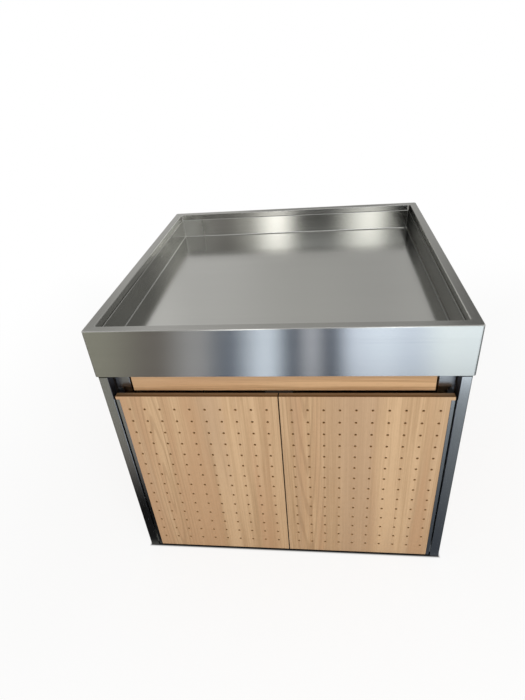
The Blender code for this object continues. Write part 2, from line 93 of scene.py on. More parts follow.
class BinSizes(bpy.types.PropertyGroup):
    """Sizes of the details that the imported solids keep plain."""

    sheet: length("Sheet", "Thickness of the folded sheet", 0.00145)
    bend: length("Bend", "Outside radius of the tray's folds", 0.003)
    tray_corner: length("Tray Corner", "Plan radius of the tray's upright corners", 0.0070)
    rim: length("Rim", "Width of the flat rim", 0.025)
    rim_return: length("Rim Return", "Depth of the rim's inner return", 0.034)
    pan_bend: length("Pan Bend", "Inside radius of the pan's folds", 0.004)
    hem: length("Hem", "Thickness of the pan's folded hem", 0.0033)
    hem_drop: length("Hem Drop", "Depth of the pan's folded hem", 0.010)
    hem_slit: length("Hem Slit", "Flat left between the hem's two folds", 0.0001)
    hole: length("Hole", "Diameter of a hole in the doors", 0.006)
    hole_break: length("Hole Break", "Broken edge round a hole", 0.0006)
    pitch: length("Pitch", "Distance between the holes", 0.0395)
    columns: IntProperty(name="Columns", description="Holes across a door", default=10, min=1)
    rows: IntProperty(name="Rows", description="Holes up a door", default=14, min=1)
    board_round: length("Board Round", "Rounding of a board's edges", 0.0006)
    lip: length("Lip", "Height of board above the steel edge of a door", 0.0095)
    slot_height: length("Slot Height", "Height of the pivot arm's slot in that lip", 0.0045)
    slot_skin: length("Slot Skin", "Board left in front of that slot", 0.0018)
    seat: length("Seat", "Clearance between pieces that touch", 0.0003)
    tube_corner: length("Tube Corner", "Corner radius of the square tube", 0.0024)
    strip_corner: length("Strip Corner", "Corner radius of the doors' edge tube", 0.0012)
    tube_end: length("Tube End", "Broken edge at the end of a tube", 0.0003)
    # Painted shade: the uprights are painted dark from this far below the apron upwards.
    apron_shade: length("Apron Shade", "Where below the apron the uprights turn dark", 0.0070)
    screw_head: length("Screw Head", "Diameter of a screw head", 0.0066)
    screw_rise: length("Screw Rise", "Height of a screw head", 0.0016)
    screw_pitch: length("Screw Pitch", "Distance between the boards' screws", 0.16)
    catch_screws: length("Catch Screws", "Distance between the catch's two screws", 0.011)
    catch_set: length("Catch Set", "How far behind its middle the catch is screwed", 0.004)


class BinColours(bpy.types.PropertyGroup):
    """Colours of the finishes."""

    sheet_steel: colour("Sheet Steel", "Brushed sheet of the apron", (0.500, 0.497, 0.471))
    rim_steel: colour("Rim Steel", "Ground sheet of the rim", (0.400, 0.395, 0.376))
    pan_steel: colour("Pan Steel", "Bright sheet of the pan", (0.500, 0.497, 0.474))
    tube_steel: colour("Tube Steel", "Brushed tube of the frame", (0.500, 0.503, 0.497))
    # Painted shade: a darker copy of the tube steel, for the shade behind the apron.
    post_steel: colour("Post Steel", "Brushed tube of the hinge posts", (0.395, 0.397, 0.393))
    # The pivot arms' black, also used as painted shade on the front legs' inner faces.
    blackened: colour("Blackened Steel", "Pivot arms and tabs", (0.050, 0.050, 0.055))
    wood_light: colour("Light Wood", "Pale streaks of the boards", (0.605, 0.412, 0.240))
    wood_dark: colour("Dark Wood", "Deep streaks of the boards", (0.430, 0.272, 0.145))
    wood_blush: colour("Wood Blush", "Pinkish patches of the boards", (0.490, 0.292, 0.160))
    wood_grey: colour("Wood Grey", "Greyish patches of the boards", (0.470, 0.314, 0.194))
    wood_pore: colour("Wood Pore", "Pores and fine dark lines", (0.300, 0.175, 0.090))
    edge_light: colour("Light Edge", "Pale part of the edge band", (0.225, 0.140, 0.075))
    edge_dark: colour("Dark Edge", "Deep part of the edge band", (0.145, 0.075, 0.030))
    # Painted shade: the near-black of the side boards' front strips, where the gap behind each leg is in
    # shadow.
    sealed: colour("Sealed Edge", "Dark sealer on the boards' hidden edges", (0.012, 0.009, 0.007))
    bore: colour("Hole Wall", "Wall of a drilled hole", (0.440, 0.255, 0.100))
    plastic: colour("Plastic", "Feet and catch", (0.020, 0.020, 0.021))
    nylon: colour("Nylon", "Bushes and washers", (0.660, 0.640, 0.580))
    zinc: colour("Zinc", "Plated pins, plates and screws", (0.580, 0.590, 0.600))
    magnet: colour("Magnet", "Pressed magnet blocks", (0.085, 0.078, 0.074))
    floor: colour("Floor", "Studio floor", (0.950, 0.950, 0.950))


class BinStage(bpy.types.PropertyGroup):
    """The studio round the bin."""

    floor_size: length("Floor Size", "Side of the floor", 60.0)
    fill: strength("Fill", "Strength of the even light", 0.62)
    key: FloatProperty(name="Key", description="Power of the overhead panel", default=58.0, min=0.0,
                       subtype="POWER", unit="POWER")
    screen: strength("Screen", "Strength of the screen that the steel mirrors", 2.108)
    windows: strength("Windows", "Strength of the windows over that screen", 5.3)
    rear: strength("Rear", "Strength of the card behind the bin", 1.092)
    screen_back: length("Screen Distance", "How far the screen stands in front of the tray", 0.9)
    card_back: length("Card Distance", "How far behind the middle the rear card stands", 2.5)
    lens: FloatProperty(name="Lens", description="Focal length", default=24.727, min=1.0, unit="CAMERA")


# Finishes


def both_ways(operation):
    """The method for a Math node's operation, and its reflected form."""
    def plain(tone, other):
        return tone.finish.maths(operation, tone, other)

    def reflected(tone, other):
        return tone.finish.maths(operation, other, tone)

    return plain, reflected


class Tone:
    """A value that varies over a surface. Python's operators add its Math nodes."""

    def __init__(self, finish, socket):
        self.finish = finish
        self.socket = socket

    __add__, __radd__ = both_ways("ADD")
    __sub__, __rsub__ = both_ways("SUBTRACT")
    __mul__, __rmul__ = both_ways("MULTIPLY")
    __truediv__, __rtruediv__ = both_ways("DIVIDE")


class Finish:
    """A node tree, and the few calls that fill it."""

    def __init__(self, tree, output):
        self.tree = tree
        self.tree.nodes.clear()
        self.output = self.tree.nodes.new(output)

    def node(self, kind, settings=(), sockets=(), out=0):
        """Adds a node, sets it up, then fills its sockets with values or links."""
        made = self.tree.nodes.new(kind)
        for name, value in dict(settings).items():
            if name == "stops":
                stops = made.color_ramp.elements
                while len(stops) < len(value):
                    stops.new(1.0)
                for stop, (place, shade) in zip(stops, value):
                    stop.position = place
                    stop.color = (*shade, 1.0)
            elif name == "interpolation":
                made.color_ramp.interpolation = value
            else:
                setattr(made, name, value)
        for key, value in dict(sockets).items():
            if isinstance(value, Tone):
                self.tree.links.new(value.socket, made.inputs[key])
            else:
                made.inputs[key].default_value = value
        return Tone(self, made.outputs[out])

    def maths(self, operation, first, second=0.0):
        return self.node("ShaderNodeMath", {"operation": operation}, {0: first, 1: second})

    def band(self, value, low, high):
        """0 below low, 1 above high and a soft step between them."""
        settings = {"interpolation_type": "SMOOTHSTEP"}
        return self.node("ShaderNodeMapRange", settings, {"Value": value, "From Min": low, "From Max": high})

    def mix(self, share, first, second, blend="MIX"):
        """Mixes two colours."""
        first, second = (c if isinstance(c, Tone) else (*c, 1.0) for c in (first, second))
        settings = {"data_type": "RGBA", "blend_type": blend, "clamp_factor": True}
        return self.node("ShaderNodeMix", settings, {0: share, 6: first, 7: second}, out=2)

    def shaded(self, shade, amount):
        """A colour times a value."""
        shade = shade if isinstance(shade, Tone) else tuple(shade)
        return self.node("ShaderNodeVectorMath", {"operation": "SCALE"}, {0: shade, "Scale": amount})

    def place(self):
        return self.node("ShaderNodeTexCoord", out=3)

    def parts(self):
        """The three coordinates, each by itself."""
        place = self.place()
        return [self.node("ShaderNodeSeparateXYZ", sockets={0: place}, out=i) for i in range(3)]

    def moved(self, scale, shift):
        """The coordinates, scaled and then moved."""
        sockets = {"Vector": self.place(), "Scale": scale, "Location": shift}
        return self.node("ShaderNodeMapping", sockets=sockets)

    def noise(self, grain, across, along, shift=0.0, detail=2.0, roughness=0.5, distortion=0.0):
        """Noise drawn out along the grain, in counts a metre."""
        scale = [along if axis == grain else across for axis in "XYZ"]
        place = self.moved(scale, (shift, shift, shift))
        sockets = {"Vector": place, "Scale": 1.0, "Detail": detail, "Roughness": roughness,
                   "Distortion": distortion}
        return self.node("ShaderNodeTexNoise", sockets=sockets)

    def bump(self, height, strength, distance):
        sockets = {"Strength": strength, "Distance": distance, "Height": height}
        return self.node("ShaderNodeBump", sockets=sockets)

    def ramp(self, place, *stops):
        """A colour that eases from stop to stop along a value."""
        return self.node("ShaderNodeValToRGB", {"interpolation": "EASE", "stops": stops}, {0: place})

    def show(self, shader):
        self.tree.links.new(shader.socket, self.output.inputs["Surface"])

    def coat(self, sockets):
        """Covers the surface with one Principled shader."""
        self.show(self.node("ShaderNodeBsdfPrincipled", sockets=sockets))


def surface(name):
    """A new material and the finish that fills it."""
    material = bpy.data.materials.new(name)
    material.use_nodes = True
    return material, Finish(material.node_tree, "ShaderNodeOutputMaterial")


def kept(name, make, *values):
    """A material is made once and shared by the pieces that carry it."""
    return bpy.data.materials.get(name) or make(name, *values)


def brushed_steel(name, grain, tint, rough, stretch, turn, edge=1.0, lined=1.0, painted_shading=None, dull=None):
    """Steel with fine lines along its grain, wiped patches and a drawn-out reflection.

    stretch and turn draw the reflection out, edge tints it at a glancing angle, lined is the lines' depth;
    drift is painted reflection and shade: an axis, where along it the tone changes, and the tone before and
    after;
    dull is an axis, where along it the steel turns duller, and by how much.
    """
    material, finish = surface(name)
    hair = finish.noise(grain, 1500.0, 2.5, detail=1.0)
    lines = finish.noise(grain, 260.0, 0.5)
    sweep = finish.noise(grain, 26.0, 0.6)
    wiped = finish.noise(grain, 6.0, 3.0, 4.0, detail=3.0, distortion=0.4)
    tone = (hair - 0.5) * 0.10 + (lines - 0.5) * 0.12 + (sweep - 0.5) * 0.07 + (wiped - 0.5) * 0.06
    tone = 1.0 + tone * lined
    # Painted reflection and shade: the tone is scaled along one axis.
    if painted_shading:
        axis, low, high, start, end = painted_shading
        tone = tone * (start + finish.band(finish.parts()["XYZ".index(axis)], low, high) * (end - start))
    rough = rough + (lines - 0.5) * 0.05 + (wiped - 0.5) * 0.06
    if dull:
        axis, low, high, more = dull
        rough = rough + finish.band(finish.parts()["XYZ".index(axis)], low, high) * more
    finish.coat({
        "Base Color": finish.shaded(tint, tone),
        "Metallic": 1.0,
        "Specular Tint": (edge, edge, edge, 1.0),
        "Roughness": rough,
        "Anisotropic": stretch,
        "Anisotropic Rotation": turn,
        "Normal": finish.bump(hair, 0.02, 0.0002),
    })
    return material


def apron_steel(grain):
    tint = bpy.context.scene.bin_colours.sheet_steel
    return kept(f"brushed_apron_{grain.lower()}", brushed_steel, grain, tint, 0.22, 0.95, 0.25)


def rim_steel(grain):
    tint = bpy.context.scene.bin_colours.rim_steel
    return kept(f"ground_rim_{grain.lower()}", brushed_steel, grain, tint, 0.20, 0.8, 0.25, 0.7)


# The grain, roughness and edge tint of the pan's faces and of the rim's returns, then how these
# change along them: drift and dull, as brushed_steel takes them. The drift tones are painted reflection
# and shade: brighter towards the rear on the left wall and its return, and darker towards the rear on
# the right wall, its return and its fold. The right wall's low edge tint is painted shade too.
PAN_STEEL = {
    "back": ("X", 0.12, 0.8, None, ("X", -0.28, -0.40, 0.25)),
    "left": ("Y", 0.26, 0.5, ("Y", -0.10, 0.34, 0.76, 1.95)),
    "right": ("Y", 0.26, 0.30, ("Y", 0.10, 0.40, 1.05, 0.16)),
    "floor": ("X", 0.15, 0.8),
    "right_fold": ("Y", 0.30, 0.4, ("Y", 0.05, 0.38, 0.42, 0.25)),
    "right_hem": ("Y", 0.30, 1.0),
    "left_return": ("Y", 0.26, 0.8, ("Y", -0.15, 0.20, 0.72, 1.95)),
}


def pan_steel(face):
    grain, rough, edge, *changes = PAN_STEEL[face]
    tint = bpy.context.scene.bin_colours.pan_steel
    return kept(f"bright_pan_{face}", brushed_steel, grain, tint, rough, 0.35, 0.25, edge, 0.45, *changes)


def tube_steel(grain):
    """Tube steel; upright tubes carry a painted shade where they go up behind the apron."""
    scene = bpy.context.scene
    turn, painted_shading = 0.25, None
    if grain == "Z":
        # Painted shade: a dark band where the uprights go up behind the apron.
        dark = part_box("tray_shell")[0].z - scene.bin_sizes.apron_shade
        turn, painted_shading = 0.0, ("Z", dark, dark + 0.0012, 1.0, 0.08)
    tint = scene.bin_colours.tube_steel
    return kept(f"brushed_tube_{grain.lower()}", brushed_steel, grain, tint, 0.25, 0.8, turn, 1.0, 1.0, painted_shading)


# Painted shade: the hinge posts carry a darker copy of the tube steel, for the shade under the apron.
def post_steel():
    tint = bpy.context.scene.bin_colours.post_steel
    return kept("brushed_post", brushed_steel, "Z", tint, 0.25, 0.8, 0.0)


def board_wood(name, grain, flat, heart, shift, tint, contrast):
    """Pale sliced veneer: wide streaks, arches round the heart, fine lines and pores, satin lacquer."""
    shades = bpy.context.scene.bin_colours
    material, finish = surface(name)
    wide = finish.noise(grain, 8.0, 0.45, shift, distortion=0.4)
    streak = finish.noise(grain, 46.0, 0.9, shift, detail=4.0, roughness=0.6)
    line = finish.noise(grain, 330.0, 5.0, shift)
    pore = finish.noise(grain, 1500.0, 45.0, shift, detail=1.0)
    blush = finish.noise(grain, 10.0, 0.5, shift + 7.0, detail=3.0, distortion=0.5)
    grey = finish.noise(grain, 9.0, 0.5, shift + 15.0, detail=3.0, distortion=0.5)
    across = next(axis for axis in "XYZ" if axis not in (grain, flat))
    scale = Vector([{grain: 1.2, across: 21.0, flat: 0.0}[axis] for axis in "XYZ"])
    centre = finish.moved(scale, -Vector(heart) * scale)
    rings = finish.node("ShaderNodeTexWave", {"wave_type": "RINGS", "rings_direction": "SPHERICAL"}, {
        "Vector": centre, "Scale": 1.5, "Distortion": 4.0, "Detail": 2.0, "Detail Scale": 0.8}, out=1)
    side = finish.maths("ABSOLUTE", finish.parts()["XYZ".index(across)] - heart["XYZ".index(across)])
    arches = finish.band(rings, 0.60, 0.95) * (1.0 - finish.band(side, 0.02, 0.085))
    depth = 0.46 + ((wide - 0.5) * 0.9 + (streak - 0.5) * 1.7 + (line - 0.5) * 1.1) * contrast
    shade = finish.mix(depth, shades.wood_light, shades.wood_dark)
    shade = finish.mix(finish.band(grey, 0.46, 0.62) * 0.62, shade, shades.wood_grey)
    shade = finish.mix(finish.band(blush, 0.48, 0.62) * 0.62, shade, shades.wood_blush)
    shade = finish.mix(arches * 0.32, shade, shades.wood_pore)
    shade = finish.mix(finish.band(pore, 0.58, 0.74) * 0.28, shade, shades.wood_pore)
    shade = finish.mix(1.0, shade, tint, "MULTIPLY")
    finish.coat({
        "Base Color": shade,
        "Roughness": 0.50 + (line - 0.5) * 0.16 + (streak - 0.5) * 0.10,
        "Specular IOR Level": 0.35,
        "Normal": finish.bump(line - finish.band(pore, 0.58, 0.74), 0.10, 0.0003),
    })
    return material


def edge_wood(name, grain, seam):
    """The band on the boards' narrow faces, deep in front of the seam and paler behind it."""
    shades = bpy.context.scene.bin_colours
    material, finish = surface(name)
    streak = finish.noise(grain, 420.0, 6.0, detail=3.0)
    patch = finish.noise(grain, 30.0, 4.0)
    front = 1.0 - finish.band(finish.parts()[1], seam - 0.0008, seam + 0.0008)
    depth = 0.1 + front * 0.8 + (streak - 0.5) * 0.7 + (patch - 0.5) * 0.5
    finish.coat({
        "Base Color": finish.mix(depth, shades.edge_light, shades.edge_dark),
        "Roughness": 0.46 + (streak - 0.5) * 0.2,
        "Specular IOR Level": 0.25,
        "Normal": finish.bump(streak, 0.08, 0.0003),
    })
    return material


def drilled_wood(name):
    """The scorched wall and edge of a drilled hole."""
    shades = bpy.context.scene.bin_colours
    material, finish = surface(name)
    tear = finish.noise("Y", 1800.0, 500.0)
    finish.coat({
        "Base Color": finish.mix(tear, shades.bore, shades.wood_pore),
        "Roughness": 0.75 + (tear - 0.5) * 0.2,
        "Normal": finish.bump(tear, 0.25, 0.0003),
    })
    return material


def moulded(name, tint, rough, metallic, grit, depth):
    """Plastic, plated or pressed material with an even fine grain and faint scuffs."""
    material, finish = surface(name)
    grain = finish.noise("Z", grit, grit)
    scuff = finish.noise("Z", 160.0, 60.0, 3.0, detail=4.0, roughness=0.65)
    tone = 1.0 + (grain - 0.5) * 0.25 + (scuff - 0.5) * 0.45
    finish.coat({
        "Base Color": finish.shaded(tint, tone),
        "Metallic": metallic,
        "Roughness": rough + (scuff - 0.5) * 0.25,
        "Specular IOR Level": 0.2,
        "Normal": finish.bump(grain, depth, 0.0003),
    })
    return material


# For each plain colour the material's name, its roughness, metal, grain a metre and depth of grain.
MOULDED = {
    # The pivot arms' black finish also paints shade on the front legs' inner faces.
    "blackened": ("blackened_steel", 0.45, 1.0, 700.0, 0.08),
    # The near-black of the side boards' front strips is painted shade.
    "sealed": ("sealed_edge", 0.8, 0.0, 900.0, 0.1),
    "plastic": ("grained_plastic", 0.70, 0.0, 1500.0, 0.25),
    "nylon": ("turned_nylon", 0.42, 0.0, 900.0, 0.10),
    "zinc": ("zinc_plate", 0.34, 1.0, 700.0, 0.06),
    "magnet": ("pressed_magnet", 0.55, 0.0, 2200.0, 0.30),
}


def plain_finish(shade):
    """The finish that goes with one of the bin's plain colours."""
    name, *values = MOULDED[shade]
    return kept(name, moulded, getattr(bpy.context.scene.bin_colours, shade), *values)


# Mesh helpers


def make_object(name, shape, finishes):
    """Turns a bmesh into an object of the scene."""
    mesh = bpy.data.meshes.new(name)
    shape.to_mesh(mesh)
    shape.free()
    for finish in finishes:
        mesh.materials.append(finish)
    made = bpy.data.objects.new(name, mesh)
    bpy.context.scene.collection.objects.link(made)
    return made


def add_piece(name, shape, finishes, body, nodes=(), rounded=True):
    """Adds a piece that rides on a body and stands for CAD nodes."""
    piece = make_object(name, shape, finishes)
    if rounded:
        piece.data.shade_smooth()
    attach(piece, body)
    if nodes:
        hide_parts(*nodes)
    return piece


def even_normals(piece):
    """Keeps the flats flat beside the rounded edges."""
    even = piece.modifiers.new("even_normals", "WEIGHTED_NORMAL")
    even.mode = "FACE_AREA"
    even.weight = 80
    even.keep_sharp = True


def thicken(piece, thickness):
    """Gives a folded sheet its thickness behind the face that shows."""
    wall = piece.modifiers.new("thickness", "SOLIDIFY")
    wall.thickness = thickness
    wall.offset = -1.0
    wall.use_even_offset = True


def bevel(shape, edges, offset, segments):
    bmesh.ops.bevel(shape, geom=edges, offset=offset, offset_type="OFFSET", affect="EDGES",
                    segments=segments, profile=0.5, material=-1, clamp_overlap=True)


def block(low, high):
    """A box between two corners."""
    shape = bmesh.new()
    bmesh.ops.create_cube(shape, size=1.0)
    bmesh.ops.scale(shape, vec=high - low, verts=shape.verts)
    bmesh.ops.translate(shape, vec=(low + high) / 2, verts=shape.verts)
    return shape


def only(kind, made):
    """The vertices, edges or faces among what an operator has made."""
    return [g for g in made["geom"] if isinstance(g, kind)]


def runs_along(edge, axis):
    way = edge.verts[1].co - edge.verts[0].co
    return abs(way["XYZ".index(axis)]) > 0.99 * way.length


def square_tube(low, high, axis, corner, end):
    """A length of square tube with rounded corners and dressed ends."""
    shape = block(low, high)
    bevel(shape, [e for e in shape.edges if runs_along(e, axis)], corner, 5)
    ends = [f for f in shape.faces if abs(f.normal["XYZ".index(axis)]) > 0.9]
    bevel(shape, list({e for f in ends for e in f.edges}), end, 1)
    return shape


def board(low, high, corner):
    """A board with its edges just rounded; its narrow faces carry the second finish."""
    shape = block(low, high)
    bevel(shape, shape.edges[:], corner, 2)
    size = high - low
    thin = min(range(3), key=lambda i: size[i])
    for face in shape.faces:
        face.material_index = 0 if abs(face.normal[thin]) > 0.5 else 1
    return shape


def square_loop(shape, half, corner, z):
    """A flat square with rounded corners, as one face."""
    made = bmesh.ops.create_grid(shape, x_segments=1, y_segments=1, size=half)
    bmesh.ops.translate(shape, vec=(0, 0, z), verts=made["verts"])
    bmesh.ops.bevel(shape, geom=shape.verts[:], offset=corner, offset_type="OFFSET", affect="VERTICES",
                    segments=6, profile=0.5, material=-1)
    return shape.faces[:]


def next_loop(shape, edges, widen, z):
    """Draws a loop of edges out to a wider or narrower one at another height."""
    drawn = bmesh.ops.extrude_edge_only(shape, edges=edges)
    for vert in only(BMVert, drawn):
        vert.co.x += widen * math.copysign(1.0, vert.co.x)
        vert.co.y += widen * math.copysign(1.0, vert.co.y)
        vert.co.z = z
    return only(BMEdge, drawn)


def grain_by_side(shape):
    """Front and back faces carry the first finish and the two ends the second."""
    for face in shape.faces:
        centre = face.calc_center_median()
        face.material_index = 1 if abs(centre.x) > abs(centre.y) else 0


def whole(shape):
    return shape.verts[:] + shape.edges[:] + shape.faces[:]


def cut(shape, place, way):
    """Cuts new edges round a shape, in the plane through a place."""
    bmesh.ops.bisect_plane(shape, geom=whole(shape), plane_co=place, plane_no=way)


def pull(shape, faces, way):
    """Draws a group of faces out along a way, and leaves nothing behind inside."""
    drawn = bmesh.ops.extrude_face_region(shape, geom=faces)
    bmesh.ops.delete(shape, geom=faces, context="FACES")
    bmesh.ops.translate(shape, vec=way, verts=only(BMVert, drawn))


def closed(shape, name):
    """A solid piece has two faces at every edge."""
    if any(len(e.link_faces) != 2 for e in shape.edges):
        raise RuntimeError(f"{name} isn't closed")


# Pieces


class BIN_OT_tray(bpy.types.Operator):
    """Makes the folded tray: apron, rim and return, and the pan with its hem"""

    bl_idname = "produce_bin.tray"
    bl_label = "Tray"

    def pan_face(self, face, corner):
        """Which finish a face of the pan carries."""
        centre, normal = face.calc_center_median(), face.normal
        at_end = abs(centre.x) > abs(centre.y)
        if min(centre.x, centre.y) > corner and abs(normal.z) < 0.1:
            return "right"
        if at_end and centre.x > 0:
            if normal.z <= 0.1:
                return "right"
            return "right_hem" if normal.x > 0.05 else "right_fold"
        if normal.z > 0.9:
            return "floor"
        return "left" if at_end else "back"

    def execute(self, context):
        sizes = context.scene.bin_sizes
        low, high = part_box("tray_shell")
        shape = bmesh.new()
        mouth = square_loop(shape, high.x, sizes.tray_corner, low.z)
        bottom = shape.edges[:]
        bmesh.ops.delete(shape, geom=mouth, context="FACES_ONLY")
        outer = next_loop(shape, bottom, 0.0, high.z)
        inner = next_loop(shape, outer, -sizes.rim, high.z)
        next_loop(shape, inner, 0.0, high.z - sizes.rim_return)
        bmesh.ops.recalc_face_normals(shape, faces=shape.faces)
        bevel(shape, outer + inner, sizes.bend, 5)
        grain_by_side(shape)
        for face in shape.faces:
            centre = face.calc_center_median()
            if max(abs(centre.x), abs(centre.y)) < high.x - sizes.bend * 0.5:
                face.material_index += 2
                if abs(face.normal.x) > 0.7:
                    face.material_index = 4 if centre.x < 0 else 5
        steel = [apron_steel("X"), apron_steel("Y"), rim_steel("X"), rim_steel("Y"),
                 pan_steel("left_return"), pan_steel("right")]
        apron = add_piece("tray_sheet", shape, steel, CABINET, ["tray_shell"])
        thicken(apron, sizes.sheet)
        even_normals(apron)

        low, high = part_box("tray_pan")
        inside = high.x - sizes.hem
        shape = bmesh.new()
        floor = square_loop(shape, inside, sizes.pan_bend, low.z + sizes.sheet)
        corner = floor[0].edges[:]
        lip = next_loop(shape, corner, 0.0, high.z)
        hem = next_loop(shape, lip, sizes.hem, high.z)
        next_loop(shape, hem, 0.0, high.z - sizes.hem_drop)
        bmesh.ops.recalc_face_normals(shape, faces=shape.faces)
        if floor[0].normal.z < 0:
            bmesh.ops.reverse_faces(shape, faces=shape.faces)
        bevel(shape, lip + hem, (sizes.hem - sizes.hem_slit) / 2, 4)
        bevel(shape, corner, sizes.pan_bend * 0.9, 5)
        finishes = [name for name in PAN_STEEL if name != "left_return"]
        for face in shape.faces:
            face.material_index = finishes.index(self.pan_face(face, inside - sizes.pan_bend))
        steel = [pan_steel(name) for name in finishes]
        pan = add_piece("pan_sheet", shape, steel, CABINET, ["tray_pan"])
        # With its texture centre far behind it, the pan draws reflections out straight and not in rings.
        pan.data.use_auto_texspace = False
        pan.data.texspace_location = (0.0, 40.0, 0.0)
        thicken(pan, sizes.sheet)
        even_normals(pan)
        return {"FINISHED"}


class BIN_OT_doors(bpy.types.Operator):
    """Makes the two perforated boards, each with a lip over its steel edge"""

    bl_idname = "produce_bin.doors"
    bl_label = "Doors"

    # Where the arches of each door's veneer are centred, and where its streaks are cut from.
    FIGURE = {"left": ((-0.335, 0.0, 0.25), 27.6), "right": ((0.062, 0.0, 0.80), 12.3)}

    def ring(self, shape, edges, radius, y):
        """Draws a loop of edges out to a ring, or to the square cell where radius is None."""
        drawn = bmesh.ops.extrude_edge_only(shape, edges=edges)
        for vert in only(BMVert, drawn):
            flat = Vector((vert.co.x, 0.0, vert.co.z))
            reach = radius / flat.length if radius else self.half / max(abs(flat.x), abs(flat.z))
            vert.co = flat * reach
            vert.co.y = y
        return only(BMEdge, drawn)

    def cell(self, shape, sizes, front, back):
        """One square of board with its hole."""
        upright = Matrix.Rotation(math.pi / 2, 4, "X")
        bmesh.ops.create_circle(shape, cap_ends=False, segments=16, radius=self.half, matrix=upright)
        for vert in shape.verts:
            vert.co *= self.half / max(abs(vert.co.x), abs(vert.co.z))
            vert.co.y = front
        radius = sizes.hole / 2
        edges = self.ring(shape, shape.edges[:], radius + sizes.hole_break, front)
        edges = self.ring(shape, edges, radius, front + sizes.hole_break)
        edges = self.ring(shape, edges, radius, back)
        self.ring(shape, edges, None, back)

    def repeat(self, shape, step, count):
        """Sets copies of everything made so far in a row."""
        first = whole(shape)
        for number in range(1, count):
            copy = bmesh.ops.duplicate(shape, geom=first)
            bmesh.ops.translate(shape, vec=step * number, verts=only(BMVert, copy))
        bmesh.ops.remove_doubles(shape, verts=shape.verts, dist=NEAR)

    def stretch(self, shape, axis, at, to):
        """Draws the open edges at one limit out to a new one."""
        rim = [e for e in shape.edges if e.is_boundary and all(abs(v.co[axis] - at) < NEAR for v in e.verts)]
        for vert in only(BMVert, bmesh.ops.extrude_edge_only(shape, edges=rim)):
            vert.co[axis] = to

    def make_board(self, sizes, low, high, step):
        """The right door's board between two corners; its lip goes on past step, where its steel edge is."""
        # The holes, one to a cell
        self.half = sizes.pitch / 2
        front, back = low.y, high.y
        shape = bmesh.new()
        self.cell(shape, sizes, front, back)
        self.repeat(shape, Vector((sizes.pitch, 0, 0)), sizes.columns)
        self.repeat(shape, Vector((0, 0, sizes.pitch)), sizes.rows)
        middle = Vector((low.x + high.x, 0, low.z + high.z)) / 2
        span = Vector((sizes.pitch * (sizes.columns - 1), 0, sizes.pitch * (sizes.rows - 1)))
        bmesh.ops.translate(shape, vec=middle - span / 2, verts=shape.verts)
        cell = Vector((self.half, 0, self.half))
        grid_low = middle - span / 2 - cell
        grid_high = middle + span / 2 + cell

        # The plain board round them
        lip = high.z - sizes.lip
        self.stretch(shape, 0, grid_low.x, low.x)
        self.stretch(shape, 0, grid_high.x, step)
        self.stretch(shape, 2, grid_low.z, low.z)
        self.stretch(shape, 2, grid_high.z, lip)
        self.stretch(shape, 2, lip, lip + sizes.slot_height)
        self.stretch(shape, 2, lip + sizes.slot_height, high.z)
        self.stretch(shape, 1, front, back)
        bmesh.ops.remove_doubles(shape, verts=shape.verts, dist=NEAR)
        bmesh.ops.recalc_face_normals(shape, faces=shape.faces)

        # The lip, with a slot in it for the pivot arm
        def lip_ends():
            at_step = [f for f in shape.faces if abs(f.calc_center_median().x - step) < NEAR]
            return [f for f in at_step if f.normal.x > 0.9 and f.calc_center_median().z > lip]

        skin = front + sizes.slot_skin
        ends = lip_ends()
        around = list({v for f in ends for v in f.verts}) + list({e for f in ends for e in f.edges}) + ends
        bmesh.ops.bisect_plane(shape, geom=around, plane_co=(0, skin, 0), plane_no=(0, 1, 0))
        solid = [f for f in lip_ends() if f.calc_center_median().z > lip + sizes.slot_height
                 or f.calc_center_median().y < skin]
        pull(shape, solid, Vector((high.x - step, 0, 0)))
        closed(shape, "door board")

        # The rounded edges
        def outside(edge):
            place = (edge.verts[0].co + edge.verts[1].co) / 2
            off_grid = not (grid_low.x + NEAR < place.x < grid_high.x - NEAR
                            and grid_low.z + NEAR < place.z < grid_high.z - NEAR)
            on_face = min(abs(place.y - front), abs(place.y - back)) < NEAR
            return off_grid and on_face and edge.calc_face_angle(0.0) > 1.0

        bevel(shape, [e for e in shape.edges if outside(e)], sizes.board_round, 2)
        bmesh.ops.dissolve_degenerate(shape, edges=shape.edges, dist=2e-6)
        closed(shape, "bevelled door board")

        # Veneer, edge band and drilled walls
        for face in shape.faces:
            centre = face.calc_center_median()
            inside = grid_low.x < centre.x < grid_high.x and grid_low.z < centre.z < grid_high.z
            flat = abs(face.normal.y) > (0.8 if inside else 0.3)
            face.material_index = 0 if flat else (2 if inside else 1)
        return shape

    def execute(self, context):
        sizes = context.scene.bin_sizes
        for side, way in SIDES.items():
            node = f"door_{side}"
            low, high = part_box(node)
            if way < 0:
                low.x, high.x = -high.x, -low.x
            tube = min(abs(corner.x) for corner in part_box(f"door_edge_tube_{side}"))
            shape = self.make_board(sizes, low, high, tube - sizes.seat)
            if way < 0:
                bmesh.ops.scale(shape, vec=(-1, 1, 1), verts=shape.verts)
                bmesh.ops.reverse_faces(shape, faces=shape.faces)
            heart, shift = self.FIGURE[side]
            wood = [kept(f"door_wood_{side}", board_wood, "Z", "Y", heart, shift, PLAIN, 1.35),
                    kept("door_edge", edge_wood, "X", low.y * 0.45 + high.y * 0.55),
                    kept("drilled_hole", drilled_wood)]
            add_piece(f"door_board_{side}", shape, wood, f"{side}_door", [node], rounded=False)
        return {"FINISHED"}


